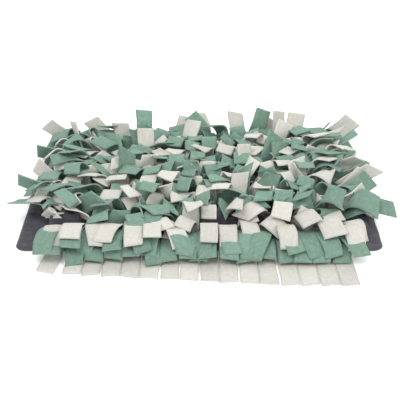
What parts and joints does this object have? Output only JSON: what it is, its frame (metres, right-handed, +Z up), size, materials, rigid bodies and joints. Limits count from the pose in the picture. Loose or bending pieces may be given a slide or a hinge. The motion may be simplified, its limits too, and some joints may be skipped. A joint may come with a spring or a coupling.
{
  "type": "snuffle mat",
  "caption": "Pet snuffle mat: hemmed cloth base under rows of slit fleece fringe that stand up and lean forward, the front row lying out over the edge.",
  "frame": {"origin": "centre of the base panel's flat underside", "axes": "+X along the rows and the base's long side, +Y from the front fringe to the rear, +Z up"},
  "size_m": [0.503, 0.4287, 0.0704],
  "materials": {
    "grey_cloth": "matt dark grey woven cloth, hemmed",
    "green_fleece": "matt sage green fleece with a short nap",
    "cream_fleece": "matt cream fleece with a short nap"
  },
  "bodies": {
    "root": {"base": "grey_cloth", "cream_band_1": "cream_fleece", "green_band_1": "green_fleece", "cream_band_2": "cream_fleece", "green_band_2": "green_fleece", "cream_band_3": "cream_fleece", "green_band_3": "green_fleece", "cream_band_4": "cream_fleece", "green_band_4": "green_fleece", "cream_band_5": "cream_fleece", "green_band_5": "green_fleece", "cream_band_6": "cream_fleece", "green_band_6": "green_fleece", "cream_band_7": "cream_fleece", "green_band_7": "green_fleece"}
  },
  "joints": []
}
